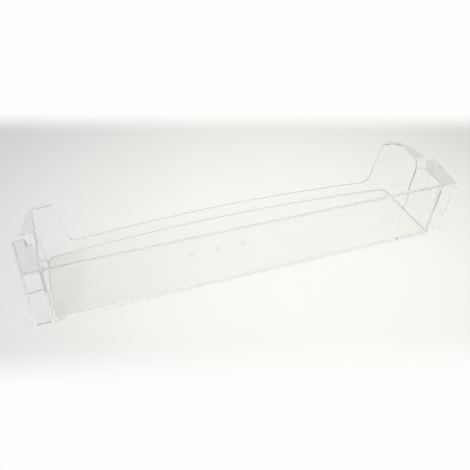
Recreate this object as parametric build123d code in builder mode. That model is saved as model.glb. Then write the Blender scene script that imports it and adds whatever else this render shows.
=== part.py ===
# Clear shelf for the inside of a refrigerator door, moulded in one piece: a long tray with a tall
# flat front wall, a low bowed rail at the rear between two raised ears, a flange round the top of
# each end wall and a hollow hanging pocket at each end.
# Millimetres. X runs along the shelf, Y from the front face towards the door, Z is up.
# The origin is at the bottom, in the middle of the length and of the depth.

import os

from build123d import *

# Overall size, with half the length of the front face
height = 73.0
depth = 102.0
front_half = 240.0

# Wall sections
front_wall = 4.2
wall = 2.4
floor_thickness = 2.6
roof_thickness = 2.6
flange_thickness = 2.6

# Hanging pockets: width at the front, widening to the rear, and a slanted rear web with a lower step
pocket_width = 16.6
pocket_flare = 4.0
pocket_depth = 48.5
web_slant = 3.6
web_step = 8.6
web_drop = 11.5

# End walls of the tray: how far they close in to the rear, and open out from the bottom to the rim
end_taper = 6.8
front_draft = 0.5
back_draft = 5.0

# Rear wall: how far its ends stand forward of its middle, and how far it leans back to the rim
bow_low = 10.6
bow_high = 9.2
rear_lean = 2.0
corner_radius_low = 12.0
corner_radius_high = 13.0
front_corner_radius = 4.0

# Rail with a slightly arched top, and the width of the ears on both sides of the opening above it
rail_height = 18.2
rail_arch = 1.6
ear_low = 29.2
ear_high = 22.3
opening_radius = 10.0

# V-shaped notch in each end wall, placed from the rear of the pocket
notch_ahead = 13.5
notch_past = 1.5
notch_rise = 5.0
notch_drop = 11.0
notch_radius = 1.6

# Flange round the top of the end wall and the ear
flange_gap = 2.0
flange_front_width = 12.3
flange_corner_width = 2.8
flange_short = 3.4
flange_radius = 19.0

# Roundings
floor_radius = 1.0
edge_radius = 0.9
wing_radius = 1.4

# Shallow round moulding marks on the floor, from the middle towards one end
mark_radius = 4.0
mark_sink = 0.25
mark_pitch = 31.0
mark_shift = 1.5

# Half lengths that follow from the front face
pocket_half = front_half + pocket_flare
end_front_low = front_half - pocket_width
end_front_high = end_front_low + front_draft
end_back_low = end_front_low - end_taper
end_back_high = end_back_low + back_draft
opening_low_half = end_back_low - ear_low
opening_high_half = end_back_high - ear_high
web_step_half = end_front_low + web_step
flange_front_half = end_front_high + flange_front_width
flange_corner_half = end_back_high + flange_corner_width

# Distances from the front face and levels that follow
notch_front = pocket_depth - notch_ahead
notch_middle = pocket_depth + notch_past
notch_back = notch_middle + notch_rise
flange_front = notch_back + flange_gap
flange_reach = depth - flange_short
mark_y = depth / 2 - mark_shift
web_low_height = height - web_drop
rail_top = rail_height + rail_arch
rear_low = depth - rear_lean * rail_top / height
rear_high = rear_low + rear_lean

# Helpers for cuts and for picking edges
overcut = 10.0
near = 0.01
root_half = end_back_low - overcut
front_face = -depth / 2

base = Plane(origin=(0, front_face, 0))


def between(low, high, z):
    return low + (high - low) * z / height


def web_y(x):
    return pocket_depth + web_slant * (pocket_half - x) / (pocket_half - end_back_low)


# Outline of the tray at one level, moved inwards by inset, with its rear corners rounded
def tray_outline(z, inset, front_y, front_radius):
    front_x = between(end_front_low, end_front_high, z) - inset
    back_x = between(end_back_low, end_back_high, z) - inset
    rear = between(rear_low, rear_high, z) - inset
    bow = between(bow_low, bow_high, z)
    corner_radius = between(corner_radius_low, corner_radius_high, z) - inset
    with BuildSketch() as outline:
        with BuildLine():
            front = Line((-front_x, front_y), (front_x, front_y))
            side = Line(front @ 1, (back_x, rear - bow))
            rail = ThreePointArc(side @ 1, (0, rear), (-back_x, rear - bow))
            Line(rail @ 1, front @ 0)
        make_face()
        fillet(outline.vertices().group_by(Axis.Y)[-1], corner_radius)
        if front_radius > 0:
            fillet(outline.vertices().group_by(Axis.Y)[0], front_radius)
    return outline.sketch


# Pocket walls, roof and flange of the right-hand end, mirrored to the left
with BuildPart() as ends:
    with BuildSketch(base) as pocket:
        with BuildLine():
            Polyline(
                (root_half, 0),
                (front_half, 0),
                (pocket_half, pocket_depth),
                (root_half, web_y(root_half)),
                close=True,
            )
        make_face()
    extrude(amount=height)

    with BuildSketch(base):
        add(pocket.sketch_local)
        offset(amount=-wall, kind=Kind.INTERSECTION)
    extrude(amount=height - roof_thickness, mode=Mode.SUBTRACT)

    # The web is lower beside the end wall, and the corner of the roof is cut off above it
    with BuildSketch(base.offset(web_low_height)):
        with BuildLine():
            Polyline(
                (root_half, notch_front),
                (end_front_high - wall, notch_front),
                (web_step_half, web_y(web_step_half)),
                (web_step_half, pocket_depth + overcut),
                (root_half, pocket_depth + overcut),
                close=True,
            )
        make_face()
    extrude(amount=height, mode=Mode.SUBTRACT)

    with BuildSketch(base.offset(height - flange_thickness)) as flange:
        with BuildLine():
            Polyline(
                (root_half, flange_front),
                (flange_front_half, flange_front),
                (flange_corner_half, flange_reach),
                (opening_low_half, flange_reach),
                (opening_low_half, flange_front),
                close=True,
            )
        make_face()
        fillet(flange.vertices().sort_by_distance((flange_corner_half, flange_reach))[0], flange_radius)
    extrude(amount=flange_thickness)
    mirror(about=Plane.YZ)

# Cutter for the notches in both end walls
with BuildPart() as notches:
    notch_plane = Plane(
        origin=(root_half, front_face, 0), x_dir=(0, 1, 0), z_dir=(1, 0, 0)
    )
    with BuildSketch(notch_plane) as notch:
        with BuildLine():
            Polyline(
                (notch_front, height),
                (notch_middle, height - notch_drop),
                (notch_back, height),
                (notch_back, height + overcut),
                (notch_front, height + overcut),
                close=True,
            )
        make_face()
        fillet(notch.vertices().group_by(Axis.Y)[0], notch_radius)
    extrude(amount=end_front_high - root_half)
    mirror(about=Plane.YZ)

with BuildPart() as shelf:
    # Solid block of the tray, with the front wall that runs on past it as a wing at each end
    with BuildSketch(base):
        add(tray_outline(0, 0, 0, 0))
    with BuildSketch(base.offset(height)):
        add(tray_outline(height, 0, 0, 0))
    loft(ruled=True)

    with BuildSketch(base):
        Rectangle(2 * front_half, front_wall, align=(Align.CENTER, Align.MIN))
    extrude(amount=height)

    add(ends.part)

    # Hollow of the tray
    with BuildSketch(base.offset(floor_thickness)):
        add(tray_outline(floor_thickness, wall, front_wall, front_corner_radius))
    with BuildSketch(base.offset(height)):
        add(tray_outline(height, wall, front_wall, front_corner_radius))
    loft(ruled=True, mode=Mode.SUBTRACT)

    add(notches.part, mode=Mode.SUBTRACT)

    # Opening above the rear rail
    rear_plane = Plane(origin=(0, depth / 2 + overcut, 0), x_dir=(1, 0, 0), z_dir=(0, -1, 0))
    opening_over = opening_high_half + (opening_high_half - opening_low_half) * overcut / (
        height - rail_height
    )
    with BuildSketch(rear_plane) as opening:
        with BuildLine():
            arch = ThreePointArc(
                (-opening_low_half, rail_height), (0, rail_top), (opening_low_half, rail_height)
            )
            Polyline(
                arch @ 1,
                (opening_over, height + overcut),
                (-opening_over, height + overcut),
                arch @ 0,
            )
        make_face()
        fillet(opening.vertices().group_by(Axis.Y)[0], opening_radius)
    extrude(amount=depth - flange_front + overcut, mode=Mode.SUBTRACT)

    # Rounded inside edge of the floor
    floor_face = shelf.faces().filter_by_position(Axis.Z, floor_thickness - near, floor_thickness + near)
    fillet(floor_face.edges(), floor_radius)

    # Rounded outer corners of the pockets
    corners = shelf.edges().filter_by(Axis.Z).filter_by(lambda e: abs(e.center().X) > front_half - wall / 2)
    fillet(corners, wing_radius)

    # Softened rim, rail and ear edges
    rim = shelf.edges().filter_by_position(Axis.Z, height - near, height + near)
    rail_edges = shelf.edges().filter_by_position(Axis.Z, rail_height - near, height - near)
    rail_edges = rail_edges.filter_by(lambda e: abs(e.center().X) < opening_high_half and e.length > 2 * wall)
    rail_edges = rail_edges.filter_by(lambda e: e.bounding_box().min.Z > rail_height - near)
    fillet(rim + rail_edges, edge_radius)

    # Shallow moulding marks in the floor
    with BuildSketch(base.offset(floor_thickness)):
        with Locations((0, mark_y), (-mark_pitch, mark_y), (-2 * mark_pitch, mark_y)):
            Circle(mark_radius)
    extrude(amount=-mark_sink, mode=Mode.SUBTRACT)

shelf.part.label = "door_shelf"
os.makedirs("parts", exist_ok=True)
export_step(shelf.part, "parts/door_shelf.step")
print("volume", round(shelf.part.volume / 1000, 1), "cm3", shelf.part.bounding_box().size)
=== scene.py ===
import math

import bmesh
import bpy
from mathutils import Matrix


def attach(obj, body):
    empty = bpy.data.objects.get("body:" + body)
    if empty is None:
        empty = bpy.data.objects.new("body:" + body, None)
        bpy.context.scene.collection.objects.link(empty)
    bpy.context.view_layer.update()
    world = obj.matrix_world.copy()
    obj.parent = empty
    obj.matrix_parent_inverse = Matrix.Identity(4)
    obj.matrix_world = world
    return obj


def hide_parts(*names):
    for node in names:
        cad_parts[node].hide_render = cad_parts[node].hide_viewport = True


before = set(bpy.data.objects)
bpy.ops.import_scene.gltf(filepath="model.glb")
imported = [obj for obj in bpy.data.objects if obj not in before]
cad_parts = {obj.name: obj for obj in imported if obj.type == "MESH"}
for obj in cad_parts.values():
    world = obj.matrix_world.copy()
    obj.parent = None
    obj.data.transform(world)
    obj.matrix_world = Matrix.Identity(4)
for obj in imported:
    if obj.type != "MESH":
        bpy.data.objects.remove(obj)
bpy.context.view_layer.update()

# How far the light is followed
tracing = {
    "bounces": 160,  # it runs along inside the clear walls for a long way
    "blurGlossy": 0.0,  # the table under the clear floor keeps its light
}

scene = bpy.context.scene
scene.view_settings.view_transform = "Standard"
scene.cycles.max_bounces = tracing["bounces"]
scene.cycles.transmission_bounces = tracing["bounces"]
scene.cycles.glossy_bounces = tracing["bounces"]
scene.cycles.blur_glossy = tracing["blurGlossy"]

# A Mix node repeats its socket names for each kind of data, so its colour sockets go by number
mixShare, mixFrom, mixTo, mixColour = 0, 6, 7, 2


def linear(hexColour):
    # sRGB hex to linear light
    channels = [int(hexColour[i:i + 2], 16) / 255 for i in (1, 3, 5)]
    return tuple(c / 12.92 if c <= 0.04045 else ((c + 0.055) / 1.055) ** 2.4 for c in channels) + (1.0,)


def metres(lengthsMm):
    return [length / 1000 for length in lengthsMm]


def addNode(tree, kind, settings=None, links=None):
    # one node with its settings, its plain socket values by name or number, and the sockets that feed it
    node = tree.nodes.new(kind)
    for name, value in (settings or {}).items():
        if isinstance(name, int) or name in node.inputs:
            node.inputs[name].default_value = value
        else:
            setattr(node, name, value)
    for name, source in (links or {}).items():
        tree.links.new(source, node.inputs[name])
    return node


def newMaterial(name):
    made = bpy.data.materials.new(name)
    made.use_nodes = True
    made.node_tree.nodes.clear()
    return made, made.node_tree


# Clear polystyrene, injection moulded: colourless and polished, so the eye gets its shape from bent
# lines along the edges and a faint grey where the light runs far inside. Handled patches and rounded
# edges are hazy, a painted shade darkens the low rounded edges into grey lines, and the three moulding
# marks are a little duller.
plastic = {
    "ior": 1.59,
    "tint": "#FEFEFE",
    "inside": "#D2D4D2",  # colour left after a long way through the plastic
    "perMetre": 2.4,  # how quickly it gets there
    "polish": 0.010,  # roughness as moulded
    "haze": 0.040,  # roughness where it has been handled
    "handledMm": 38.0,  # size of the handled patches
    "handledDetail": 4.0,
    "handledFrom": (0.45, 0.75),  # a patch starts at the first noise level and is full at the second
    "edgeHaze": 0.45,  # more roughness on the rounded edges
    "edgeFrom": (0.1, 0.2),  # an edge starts at the first lean and is full at the second
    # painted shade: the grey that darkens the low rounded edges into lines
    "edgeShade": "#989896",
    "edgeShadeUpMm": (3.0, 40.0),  # the painted shade thins out between these heights
    "mark": "#F9F9F8",
    "marks": 3,
    "firstMarkMm": (0.0, -1.5, 2.35),
    "markPitchMm": 31.0,  # from one mark to the next, to the left
    "markEdgeMm": (3.4, 4.4),  # a mark ends between these distances from its middle
}


def clearPolystyrene():
    made, tree = newMaterial("clear polystyrene, injection moulded")
    place = addNode(tree, "ShaderNodeTexCoord")
    handled = addNode(
        tree, "ShaderNodeTexNoise",
        {"Scale": 1000 / plastic["handledMm"], "Detail": plastic["handledDetail"]},
        {"Vector": place.outputs["Object"]},
    )
    start, full = plastic["handledFrom"]
    haze = addNode(
        tree, "ShaderNodeMapRange",
        {"From Min": start, "From Max": full, "To Min": plastic["polish"], "To Max": plastic["haze"]},
        {"Value": handled.outputs["Fac"]},
    )

    # rounded edges are where a face leans, most at half way between flat and upright
    facing = addNode(tree, "ShaderNodeSeparateXYZ", None, {"Vector": place.outputs["Normal"]})
    upright = addNode(
        tree, "ShaderNodeMath",
        {"operation": "SUBTRACT", "use_clamp": True, 0: 1.0},
        {1: facing.outputs["Z"]},
    )
    leaning = addNode(
        tree, "ShaderNodeMath",
        {"operation": "MULTIPLY", "use_clamp": True},
        {0: facing.outputs["Z"], 1: upright.outputs["Value"]},
    )
    start, full = plastic["edgeFrom"]
    edge = addNode(
        tree, "ShaderNodeMapRange",
        {"From Min": start, "From Max": full},
        {"Value": leaning.outputs["Value"]},
    )
    rough = addNode(
        tree, "ShaderNodeMath",
        {"operation": "MULTIPLY_ADD", 1: plastic["edgeHaze"]},
        {0: edge.outputs["Result"], 2: haze.outputs["Result"]},
    )

    # painted shade on the low rounded edges, along the floor and the rail, darkening them into lines
    height = addNode(tree, "ShaderNodeSeparateXYZ", None, {"Vector": place.outputs["Object"]})
    low, high = metres(plastic["edgeShadeUpMm"])
    below = addNode(
        tree, "ShaderNodeMapRange",
        {"From Min": low, "From Max": high, "To Min": 1.0, "To Max": 0.0},
        {"Value": height.outputs["Z"]},
    )
    edgeShade = addNode(
        tree, "ShaderNodeMath",
        {"operation": "MULTIPLY"},
        {0: edge.outputs["Result"], 1: below.outputs["Result"]},
    )
    colour = addNode(
        tree, "ShaderNodeMix",
        {"data_type": "RGBA", mixFrom: linear(plastic["tint"]), mixTo: linear(plastic["edgeShade"])},
        {mixShare: edgeShade.outputs["Value"]},
    )

    # duller moulding marks in a row on the floor
    inner, outer = metres(plastic["markEdgeMm"])
    x, y, z = metres(plastic["firstMarkMm"])
    for count in range(plastic["marks"]):
        away = addNode(
            tree, "ShaderNodeVectorMath",
            {"operation": "DISTANCE", 1: (x - count * plastic["markPitchMm"] / 1000, y, z)},
            {0: place.outputs["Object"]},
        )
        mark = addNode(
            tree, "ShaderNodeMapRange",
            {"interpolation_type": "SMOOTHSTEP",
             "From Min": inner, "From Max": outer, "To Min": 1.0, "To Max": 0.0},
            {"Value": away.outputs["Value"]},
        )
        colour = addNode(
            tree, "ShaderNodeMix",
            {"data_type": "RGBA", mixTo: linear(plastic["mark"])},
            {mixShare: mark.outputs["Result"], mixFrom: colour.outputs[mixColour]},
        )

    skin = addNode(
        tree, "ShaderNodeBsdfPrincipled",
        {"IOR": plastic["ior"], "Transmission Weight": 1.0},
        {"Base Color": colour.outputs[mixColour], "Roughness": rough.outputs["Value"]},
    )
    inside = addNode(
        tree, "ShaderNodeVolumeAbsorption",
        {"Color": linear(plastic["inside"]), "Density": plastic["perMetre"]},
    )
    addNode(
        tree, "ShaderNodeOutputMaterial", None,
        {"Surface": skin.outputs["BSDF"], "Volume": inside.outputs["Volume"]},
    )
    return made


# The moulding: the solid's own faces, joined so that round edges shade smoothly and flat faces stay flat
moulding = {
    "mergeMm": 0.002,
    "sharpDeg": 32.0,
    "flatWeight": 100,  # large flat faces set the shading of the roundings beside them
}


def mouldedShelf(node):
    mesh = bmesh.new()
    mesh.from_mesh(node.data)
    bmesh.ops.remove_doubles(mesh, verts=mesh.verts, dist=moulding["mergeMm"] / 1000)
    mesh.verts.index_update()
    points = [v.co[:] for v in mesh.verts]
    faces = [[v.index for v in f.verts] for f in mesh.faces]
    mesh.free()
    joined = bpy.data.meshes.new("door_shelf_moulding")
    joined.from_pydata(points, [], faces)  # leaves the stored corner normals behind
    joined.shade_smooth()
    joined.set_sharp_from_angle(angle=math.radians(moulding["sharpDeg"]))
    piece = bpy.data.objects.new("door_shelf_moulding", joined)
    scene.collection.objects.link(piece)
    even = piece.modifiers.new("flat faces first", "WEIGHTED_NORMAL")
    even.mode = "FACE_AREA"
    even.weight = moulding["flatWeight"]
    even.keep_sharp = True
    shaded = piece.evaluated_get(bpy.context.evaluated_depsgraph_get())
    piece.data = bpy.data.meshes.new_from_object(shaded)
    piece.modifiers.clear()
    piece.data.materials.clear()
    piece.data.materials.append(clearPolystyrene())
    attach(piece, "root")
    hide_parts("door_shelf")
    return piece


shelf = mouldedShelf(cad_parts["door_shelf"])
print("moulding made,", len(shelf.data.polygons), "faces")

# Table top under the shelf
table = {
    "half": 6.0,  # metres from the middle to each side
    "dropMm": 0.3,  # a hair below the underside of the shelf
    "sheet": ("#F5F8F6", "#F8F7F2"),  # painted tint of cool light: cooler at the left end than at the right
    "paintedCoolMm": (-340.0, 40.0),  # and changes between these places
    "rough": 0.55,
    "specular": 0.2,
    "mottleMm": 330.0,
    "mottleDetail": 2.0,
    "mottleFrom": (0.3, 0.7),  # noise levels of the darkest and the palest tone
    "mottleTone": 0.985,  # the darkest tone
    "paintedLightAt": (0.055, -0.06, 0.0),  # a painted pool of light: the table is palest here
    "paintedFalloffMm": (50.0, 660.0),  # and this painted light falls off between these distances
    "paintedFalloffTo": 0.55,
    "turnDeg": 15.8,  # the fades run along the picture's own sides
    "fadesMm": (  # from where to where it fades to white in front, behind and on both sides
        ("Y", -134.0, -190.0),
        ("Y", 227.0, 290.0),
        ("X", -330.0, -480.0),
        ("X", 375.0, 520.0),
    ),
    "white": "#FEFEFD",
    "rays": ("Is Camera Ray", "Is Transmission Ray", "Is Glossy Ray"),  # these see the white
}


# White laminate, matt, with a slow mottle, so the eye meets it as plain paper; a pool of light and a
# cool tint of light on the left are painted into its colour
def whiteLaminate():
    made, tree = newMaterial("white laminate, matt")
    place = addNode(tree, "ShaderNodeTexCoord")
    mottle = addNode(
        tree, "ShaderNodeTexNoise",
        {"Scale": 1000 / table["mottleMm"], "Detail": table["mottleDetail"]},
        {"Vector": place.outputs["Object"]},
    )
    darkest, palest = table["mottleFrom"]
    tone = addNode(
        tree, "ShaderNodeMapRange",
        {"From Min": darkest, "From Max": palest, "To Min": table["mottleTone"], "To Max": 1.0},
        {"Value": mottle.outputs["Fac"]},
    )
    # painted light: the colour darkens with distance from its palest place, a painted pool of light
    away = addNode(
        tree, "ShaderNodeVectorMath",
        {"operation": "DISTANCE", 1: table["paintedLightAt"]},
        {0: place.outputs["Object"]},
    )
    near, far = metres(table["paintedFalloffMm"])
    paintedFalloff = addNode(
        tree, "ShaderNodeMapRange",
        {"interpolation_type": "SMOOTHSTEP",
         "From Min": near, "From Max": far, "To Min": 1.0, "To Max": table["paintedFalloffTo"]},
        {"Value": away.outputs["Value"]},
    )
    level = addNode(
        tree, "ShaderNodeMath",
        {"operation": "MULTIPLY"},
        {0: tone.outputs["Result"], 1: paintedFalloff.outputs["Result"]},
    )

    # painted tint of cool light on the left
    turned = addNode(
        tree, "ShaderNodeVectorRotate",
        {"rotation_type": "Z_AXIS", "Angle": math.radians(table["turnDeg"])},
        {"Vector": place.outputs["Object"]},
    )
    split = addNode(tree, "ShaderNodeSeparateXYZ", None, {"Vector": turned.outputs["Vector"]})
    coolest, warmest = metres(table["paintedCoolMm"])
    across = addNode(
        tree, "ShaderNodeMapRange",
        {"From Min": coolest, "From Max": warmest},
        {"Value": split.outputs["X"]},
    )
    cool, warm = (linear(colour) for colour in table["sheet"])
    sheet = addNode(
        tree, "ShaderNodeMix",
        {"data_type": "RGBA", mixFrom: cool, mixTo: warm},
        {mixShare: across.outputs["Result"]},
    )
    colour = addNode(
        tree, "ShaderNodeMix",
        {"data_type": "RGBA", "blend_type": "MULTIPLY", mixShare: 1.0},
        {mixFrom: sheet.outputs[mixColour], mixTo: level.outputs["Value"]},
    )
    skin = addNode(
        tree, "ShaderNodeBsdfPrincipled",
        {"Roughness": table["rough"], "Specular IOR Level": table["specular"]},
        {"Base Color": colour.outputs[mixColour]},
    )

    # plain white far away, for rays from the camera and through or off the plastic
    fades = []
    for axis, start, end in table["fadesMm"]:
        start, end = metres((start, end))
        fade = addNode(
            tree, "ShaderNodeMapRange",
            {"interpolation_type": "SMOOTHSTEP", "From Min": start, "From Max": end},
            {"Value": split.outputs[axis]},
        )
        fades.append(fade.outputs["Result"])
    seen = addNode(tree, "ShaderNodeLightPath")
    rays = [seen.outputs[ray] for ray in table["rays"]]
    shares = []
    for sockets in (fades, rays):
        most = sockets[0]
        for socket in sockets[1:]:
            larger = addNode(tree, "ShaderNodeMath", {"operation": "MAXIMUM"}, {0: most, 1: socket})
            most = larger.outputs["Value"]
        shares.append(most)
    share = addNode(tree, "ShaderNodeMath", {"operation": "MULTIPLY"}, {0: shares[0], 1: shares[1]})
    white = addNode(tree, "ShaderNodeEmission", {"Color": linear(table["white"])})
    mixed = addNode(
        tree, "ShaderNodeMixShader", None,
        {0: share.outputs["Value"], 1: skin.outputs["BSDF"], 2: white.outputs["Emission"]},
    )
    addNode(tree, "ShaderNodeOutputMaterial", None, {"Surface": mixed.outputs["Shader"]})
    return made


def tableTop():
    flat = bpy.data.meshes.new("table_top")
    h = table["half"]
    flat.from_pydata([(-h, -h, 0), (h, -h, 0), (h, h, 0), (-h, h, 0)], [], [(0, 1, 2, 3)])
    flat.materials.append(whiteLaminate())
    top = bpy.data.objects.new("table_top", flat)
    top.location.z = -table["dropMm"] / 1000
    scene.collection.objects.link(top)


tableTop()
print("table top made")

# Soft light: a white tent all round, paler above, with dimmer sheets behind and on both sides
light = {
    "horizon": 1.05,
    "zenith": 1.32,
    "fullAt": 0.85,  # sine of the height where the tent is palest
    "left": "#F9FBFF",  # cooler on the left than on the right
    "right": "#FFFEF9",
    "gaps": (  # azimuth, height, inner and outer radius in degrees, and the share of light that is left
        (43.0, 27.0, 8.0, 11.0, 0.2),  # opening to the right of the rear sheet
        (99.0, 43.0, 8.0, 10.5, 0.35),  # opening to the left of it
        (67.0, 47.0, 18.0, 32.0, 0.74),  # rear sheet
        (175.0, 40.0, 22.0, 40.0, 0.72),  # left sheet
        (-5.0, 40.0, 22.0, 40.0, 0.72),  # right sheet
    ),
}


def softLight():
    world = bpy.data.worlds.new("white tent")
    scene.world = world
    world.use_nodes = True
    tree = world.node_tree
    tree.nodes.clear()
    place = addNode(tree, "ShaderNodeTexCoord")
    split = addNode(tree, "ShaderNodeSeparateXYZ", None, {"Vector": place.outputs["Generated"]})
    tent = addNode(
        tree, "ShaderNodeMapRange",
        {"From Max": light["fullAt"], "To Min": light["horizon"], "To Max": light["zenith"]},
        {"Value": split.outputs["Z"]},
    )
    level = tent.outputs["Result"]
    for *degrees, left in light["gaps"]:
        azimuth, height, inner, outer = (math.radians(angle) for angle in degrees)
        across = math.cos(height)
        middle = (math.cos(azimuth) * across, math.sin(azimuth) * across, math.sin(height))
        facing = addNode(
            tree, "ShaderNodeVectorMath",
            {"operation": "DOT_PRODUCT", 1: middle},
            {0: place.outputs["Generated"]},
        )
        gap = addNode(
            tree, "ShaderNodeMapRange",
            {"interpolation_type": "SMOOTHSTEP",
             "From Min": math.cos(outer), "From Max": math.cos(inner), "To Min": 1.0, "To Max": left},
            {"Value": facing.outputs["Value"]},
        )
        dimmed = addNode(
            tree, "ShaderNodeMath",
            {"operation": "MULTIPLY"},
            {0: level, 1: gap.outputs["Result"]},
        )
        level = dimmed.outputs["Value"]
    side = addNode(tree, "ShaderNodeMapRange", {"From Min": -1.0}, {"Value": split.outputs["X"]})
    white = addNode(
        tree, "ShaderNodeMix",
        {"data_type": "RGBA", mixFrom: linear(light["left"]), mixTo: linear(light["right"])},
        {mixShare: side.outputs["Result"]},
    )
    glow = addNode(
        tree, "ShaderNodeBackground", None,
        {"Color": white.outputs[mixColour], "Strength": level},
    )
    addNode(tree, "ShaderNodeOutputWorld", None, {"Surface": glow.outputs["Background"]})


softLight()
print("light set,", len(light["gaps"]), "dimmer places in the tent")

# Camera as the photograph was taken: from the front, above and to the left, with a slight roll
view = {
    "place": (-0.2090, -0.4633, 0.4799),
    "turnDeg": 23.35,  # to the right of straight at the front wall
    "downDeg": 42.64,
    "rollDeg": 4.21,
    "focalPx": 599.0,
    "framePx": 470.0,
    "sensorMm": 36.0,
}


def photoCamera():
    data = bpy.data.cameras.new("photo_camera")
    data.sensor_width = view["sensorMm"]
    data.lens = view["focalPx"] / view["framePx"] * view["sensorMm"]
    camera = bpy.data.objects.new("photo_camera", data)
    scene.collection.objects.link(camera)
    turn, down, roll = (math.radians(view[k]) for k in ("turnDeg", "downDeg", "rollDeg"))
    camera.matrix_world = (
        Matrix.Translation(view["place"])
        @ Matrix.Rotation(-turn, 4, "Z")
        @ Matrix.Rotation(math.pi / 2 - down, 4, "X")
        @ Matrix.Rotation(roll, 4, "Z")
    )
    scene.camera = camera


photoCamera()
print("camera set")
